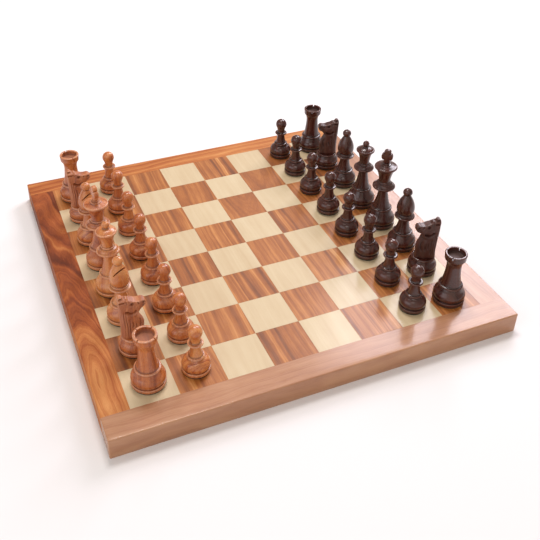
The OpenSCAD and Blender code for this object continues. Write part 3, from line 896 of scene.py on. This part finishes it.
FILES = "hgfedcba"
LIGHT_TONE = {"pawn_h": 0.57, "pawn_g": 0.54, "pawn_f": 0.48, "pawn_e": 0.5, "pawn_d": 0.45, "pawn_c": 0.5, "pawn_b": 0.53, "pawn_a": 0.53, "rook_h": 0.42, "rook_a": 0.42, "bishop_f": 0.66, "bishop_c": 0.5, "queen": 0.66, "king": 0.5}
seed = 0
for white in (True, False):
    side = "white" if white else "black"
    tones = LIGHT_TONE if white else {}
    for f in FILES:
        seed += 1
        man(f"{side}_pawn_{f}", PAWN, PAWN_R, tones.get(f"pawn_{f}", 0.5), seed=seed)
    for f, turn in (("h", 36), ("a", 12 if white else 58)):
        seed += 1
        man(f"{side}_rook_{f}", ROOK, ROOK_R, tones.get(f"rook_{f}", 0.5), saw_cuts(turn), seed=seed)
    for f, turn in (("f", -61 if white else 118), ("c", -57 if white else 64)):
        seed += 1
        man(f"{side}_bishop_{f}", BISHOP, BISHOP_R, tones.get(f"bishop_{f}", 0.5), mitre(turn), seed=seed)
    seed += 1
    man(f"{side}_queen", QUEEN, QUEEN_R, tones.get("queen", 0.5), seed=seed)
    seed += 1
    man(f"{side}_king", KING, KING_R, tones.get("king", 0.5), seed=seed)


def cross_mesh():
    """A king's cross: four flared arms that almost meet, the upright ones longer, in mm about its own axis, arms along X."""
    h = 0.16
    xs, ys, zs = np.arange(-7.2, 7.2, h), np.arange(-3.6, 3.6, h), np.arange(80.1, 98.6, h)
    X, Z = np.meshgrid(xs, zs, indexing="ij")
    c = 89.0

    def arm(l, w, e):
        l, w = l - 0.8, w - 0.8
        return [(-1.5, 0), (-1.75, 1.75), (-w, l - e), (-0.8 * w, l - 0.5 * e), (-0.45 * w, l - 0.12 * e), (0, l), (0.45 * w, l - 0.12 * e), (0.8 * w, l - 0.5 * e), (w, l - e), (1.75, 1.75), (1.5, 0)]

    d = np.maximum(np.abs(X), np.abs(Z - c)) - 2.0
    for turn, a in ((0, arm(8.55, 3.9, 1.8)), (90, arm(6.3, 3.9, 1.3)), (-90, arm(6.3, 3.9, 1.3)), (180, arm(8.05, 4.0, 1.3))):
        t = math.radians(turn)
        d = np.minimum(d, poly_sd([(x * math.cos(t) - y * math.sin(t), c + x * math.sin(t) + y * math.cos(t)) for x, y in a], X, Z) - 0.8)
    Y = ys[None, :, None]
    half = 2.8 - 0.3 * np.clip(np.hypot(X, Z - c) / 8, 0, 1)[:, None, :]
    F = smax(d[:, None, :], np.abs(Y) - half, 1.4)
    F = smax(F, np.broadcast_to(80.95 - Z[:, None, :], F.shape), 0.2)
    return surface(F, (xs[0], ys[0], zs[0]), h)


CROSS = cross_mesh()


def place_mesh(name, made, cx, cy, turn):
    v, f = made
    t = math.radians(turn)
    w = np.stack([v[:, 0] * math.cos(t) - v[:, 1] * math.sin(t), v[:, 0] * math.sin(t) + v[:, 1] * math.cos(t), v[:, 2]], 1) * MM
    w += np.array([cx, cy, TOP])
    return mesh_from(name, w, f)


for side, turn in (("white", -84), ("black", -40)):
    cx, cy = axis_of(f"{side}_king")
    rs = np.random.default_rng(77 if side == "white" else 78)
    me = place_mesh(f"{side}_king_cross_wood", CROSS, cx, cy, turn)
    obj = add(f"{side}_king_cross_wood", me, f"{side}_king", (f"{side}_king_cross",))
    dress(obj, M["light_men" if side == "white" else "dark_men"], grain(rs, coords(me), cx, cy, TOP), 0.5, 0.8)


def knight_head_mesh():
    """The carved head, facing +X, in mm about the man's axis: a side outline with a carved half-thickness."""
    h = 0.3
    xs, ys, zs = np.arange(-16.0, 15.6, h), np.arange(-10.8, 11.0, h), np.arange(19.0, 67.8, h)
    X, Z = np.meshgrid(xs, zs, indexing="ij")
    back = [(-11.6, 19.95), (-11.8, 27), (-12.0, 36), (-12.2, 44), (-12.3, 51.0), (-12.4, 56.0), (-12.6, 60.0)]
    ears = [(-12.6, 62.6), (-12.0, 64.7), (-10.4, 65.8), (-8.6, 65.3), (-7.2, 63.8), (-6.2, 62.9), (-5.0, 63.5), (-3.8, 63.0), (-2.6, 61.4), (-0.8, 60.8), (1.6, 60.0)]
    nose = cubic((1.6, 60.0), (4.2, 58.7), (6.6, 59.0), (8.8, 59.7), 8) + arc((9.4, 56.1), 3.6, 78, -30, 10)
    jaw = [(12.0, 53.0), (11.0, 51.9), (9.4, 51.4)] + cubic((9.4, 51.4), (8.2, 51.0), (7.4, 50.0), (6.6, 48.6), 6) + cubic((6.6, 48.6), (5.6, 46.6), (4.6, 45.0), (4.0, 44.2), 6)
    chest = cubic((4.0, 44.2), (6.2, 40.8), (10.4, 37.4), (10.6, 31.6), 10) + [(10.0, 25.5), (9.9, 22.4), (10.4, 19.95)]
    side = poly_sd(smooth_line(back, 5) + smooth_line(ears, 5) + nose + jaw + chest, X, Z)
    # half-thickness before carving
    w = np.interp(Z, [19.9, 21.6, 24, 34, 42, 50, 54, 57, 60, 63, 66], [9.6, 9.0, 8.7, 8.0, 7.0, 6.5, 5.9, 5.1, 4.3, 3.9, 3.7])
    w = smin(w, np.interp(X, [0, 5, 9, 13], [9.6, 6.2, 4.5, 3.3]), 1.2)
    # above the brow the ears and forelock stand as a narrow crest
    crest = np.clip((-1.6 - X) / 1.6, 0, 1) * np.clip((Z - np.where(X < -5.6, 62.3, 61.4)) / 1.1, 0, 1)
    w = w * (1 - crest) + crest * (2.8 + 0.3 * np.clip((Z - 64) / 1.5, 0, 1))
    # the mane closes to a rounded ridge at the back
    edge = np.interp(Z, [p[1] for p in back], [p[0] for p in back])
    u = np.clip(X - edge, 0, 6.5)
    w = np.where(Z < 66, smin(w, 1.6 + np.sqrt(np.clip(6.5**2 - (6.5 - u) ** 2, 0, None)), 0.8), w)

    def dimple(cx, cz, rx, rz, depth, sharp=0.7):
        d = np.hypot((X - cx) / rx, (Z - cz) / rz)
        return -depth * np.clip(1 - d * d, 0, 1) ** sharp

    def groove(pts, width, depth, taper=0.12):
        d, s = line_d(smooth_line(pts, 6), X, Z)
        fade = np.clip(np.minimum(s, 1 - s) / taper, 0, 1) ** 0.7
        return -depth * fade * np.exp(-((d / width) ** 2) * 1.4)

    def ridge(pts, width, height, taper=0.15):
        return -groove(pts, width, height, taper)

    # flat cheek, and the deep cut round its lower edge
    cheek = np.hypot((X + 0.6) / 5.2, (Z - 52.4) / 4.6)
    w = w + 0.35 * np.clip(1 - cheek**6, 0, 1)
    ring = [(-0.8 + 5.1 * math.cos(math.radians(a)), 52.8 + 4.8 * math.sin(math.radians(a))) for a in range(-165, -10, 16)]
    w = w + groove(ring, 1.5, 3.6, 0.12)
    # eye, a round hole just under the edge of the forehead, and the nick before the nose
    w = w + dimple(0.3, 57.5, 1.6, 1.4, 2.4, 0.5)
    w = w + ridge([(-2.2, 58.4), (-1.0, 59.6), (0.8, 59.8), (2.4, 59.0)], 0.6, 0.4)
    w = w + groove([(5.2, 58.6), (6.0, 57.2), (6.6, 56.0)], 0.65, 1.5, 0.25)
    # nostril and mouth
    w = w + dimple(10.6, 57.2, 1.2, 1.1, 1.8, 0.5)
    w = w + groove([(13.6, 54.4), (11.0, 54.3), (9.0, 53.7)], 0.55, 1.0, 0.12)
    # the hollow of the ear, the lip under it, and the slot under the lip
    w = w + dimple(-9.5, 63.9, 2.0, 1.3, 1.0, 0.6)
    w = w + ridge([(-12.4, 61.2), (-10.6, 61.8), (-8.4, 61.9), (-6.2, 61.7)], 0.7, 0.6, 0.1)
    w = w + groove([(-11.6, 59.2), (-9.6, 59.8), (-7.6, 59.9), (-6.0, 59.6)], 0.7, 1.7, 0.16)
    w = w + groove([(-5.0, 61.2), (-4.4, 59.4), (-4.2, 57.6)], 0.6, 0.8, 0.2)
    # mane: ribs that follow the back of the neck
    u = X - edge
    fade = np.clip((u - 0.2) / 1.0, 0, 1) * np.clip((8.0 + (Z - 40) * -0.03 - u) / 1.2, 0, 1) * np.clip((Z - 21.5) / 4, 0, 1) * np.clip((52.0 - Z) / 3, 0, 1)
    wave = 0.25 * np.sin(Z / 3.1)
    w = w - fade * 0.6 * (0.5 + 0.5 * np.cos(2 * math.pi * (u - 2.0 + wave) / 2.1)) ** 2.0
    # long drop-shaped cuts down the middle of the neck, and one round the chest
    w = w + groove([(-3.6, 43.0), (-3.2, 38.0), (-3.4, 32.0), (-3.0, 25.5)], 0.7, 0.9, 0.12)
    w = w + groove([(-0.6, 39.6), (-0.2, 36.5), (-0.4, 32.0)], 0.75, 1.2, 0.3)
    w = w + groove([(2.2, 38.0), (2.6, 34.5), (2.4, 30.0)], 0.7, 1.0, 0.3)
    w = w + groove([(4.4, 41.2), (6.2, 37.8), (6.6, 33.8), (5.2, 29.0)], 0.8, 1.4, 0.2)
    w = np.minimum(w, 9.0)
    Y = ys[None, :, None]
    rnd = np.interp(Z, [20, 23, 27, 38, 45, 51, 68], [1.2, 3.0, 5.0, 5.0, 3.4, 1.6, 1.2])[:, None, :]
    F = smax(side[:, None, :], np.abs(Y) - w[:, None, :], rnd)
    # the ears part along the middle, and the neck's foot is cut flat
    notch = np.hypot(Y, (Z - 66.8)[:, None, :]) - 1.4
    F = np.where(((X < -8.0) & (Z > 64))[:, None, :], smax(F, -notch, 0.8), F)
    F = smax(F, np.broadcast_to((19.95 - Z)[:, None, :], F.shape), 0.4)
    v, f = surface(F, (xs[0], ys[0], zs[0]), h)
    return v, f


HEAD = knight_head_mesh()
TURN = {("white", "g"): -4, ("white", "b"): -6, ("black", "g"): 167, ("black", "b"): 165}
for white in (True, False):
    side = "white" if white else "black"
    for k, f in enumerate("gb"):
        name = f"{side}_knight_{f}"
        cx, cy, rs = man(name, KNIGHT, KNIGHT_R, 0.42 if white else 0.5, seed=60 + k + 2 * white)
        me = place_mesh(f"{name}_carved_head", HEAD, cx, cy, TURN[(side, f)])
        bm = bmesh.new()
        bm.from_mesh(me)
        for _ in range(2):
            bmesh.ops.smooth_vert(bm, verts=[v for v in bm.verts if v.co.z > TOP + 20.4 * MM], factor=0.5, use_axis_x=True, use_axis_y=True, use_axis_z=True)
        bm.to_mesh(me)
        bm.free()
        obj = add(f"{name}_carved_head", me, name, (f"{name}_head",))
        # convex carving gets wear with a painted highlight; hollows get painted shade, made 1.7 times stronger for the
        # deep cuts
        worn_and_lit, hollow = curvature(me)
        dress(obj, M["light_men" if white else "dark_men"], grain(rs, coords(me), cx, cy, TOP), 0.46 if white else 0.56, 1.0, worn_and_lit, np.clip(hollow * 1.7, 0, 1), sharp=0)
        # the carving took less polish than the turned parts
        put_attr(me, "dull", np.full(len(me.vertices), 0.4))

# ---------------------------------------------------------------- floor, light, camera
me = mesh_from("floor", [(-6, -6, 0), (6, -6, 0), (6, 6, 0), (-6, 6, 0)], [(0, 1, 2, 3)])
floor = bpy.data.objects.new("floor", me)
scene.collection.objects.link(floor)
n = Nodes("pale_floor")
n.bsdf.inputs["Base Color"].default_value = (0.82, 0.81, 0.82, 1)
n.bsdf.inputs["Roughness"].default_value = 0.9
me.materials.append(n.mat)

world = bpy.data.worlds.new("studio")
scene.world = world
world.use_nodes = True
bg = world.node_tree.nodes["Background"]
bg.inputs[0].default_value = (1.0, 0.91, 0.82, 1)
bg.inputs[1].default_value = 0.43


def area(name, az, el, dist, w, h, power, col, at=(0, 0, 0.03)):
    """A soft box in direction az (degrees from +X towards +Y) and el, aimed at a point."""
    l = bpy.data.lights.new(name, "AREA")
    l.shape, l.size, l.size_y, l.energy, l.color = "RECTANGLE", w, h, power, col
    o = bpy.data.objects.new(name, l)
    scene.collection.objects.link(o)
    a, e = math.radians(az), math.radians(el)
    d = Vector((math.cos(e) * math.cos(a), math.cos(e) * math.sin(a), math.sin(e)))
    o.location = Vector(at) + d * dist
    o.rotation_euler = d.to_track_quat("Z", "Y").to_euler()
    return o


area("window", 38, 38, 2.2, 1.0, 0.9, 30, (0.95, 0.91, 1.0))
area("overhead", 80, 74, 1.9, 0.55, 0.42, 16, (1.0, 0.96, 0.94))
area("left_fill", 195, 30, 2.4, 2.2, 1.4, 14, (0.9, 0.93, 1.0))
area("front_fill", 255, 22, 2.5, 3.2, 2.2, 8.5, (1.0, 0.86, 0.72))
area("front_top", 250, 60, 2.2, 0.9, 0.4, 4.5, (1.0, 0.93, 0.88))

cam = bpy.data.cameras.new("photo_camera")
cam.sensor_width = 36
cam.lens = 52.057
cam.shift_x, cam.shift_y = 0.0463, -0.16296
cam.clip_start, cam.clip_end = 0.01, 50
cam_obj = bpy.data.objects.new("photo_camera", cam)
scene.collection.objects.link(cam_obj)
right = Vector((0.92661, -0.3759453, 0.0076799))
up = -Vector((-0.1992459, -0.508207, -0.8378704))
back = -Vector((0.3188964, 0.7748488, -0.5458152))
# the camera's place, in squares from the near left corner of the squares
place = Vector((-1.8468210, -10.1048597, 11.7099321)) * SQ + Vector((core_lo.x, core_lo.y, TOP))
cam_obj.matrix_world = Matrix.Translation(place) @ Matrix((right, up, back)).transposed().to_4x4()
scene.camera = cam_obj
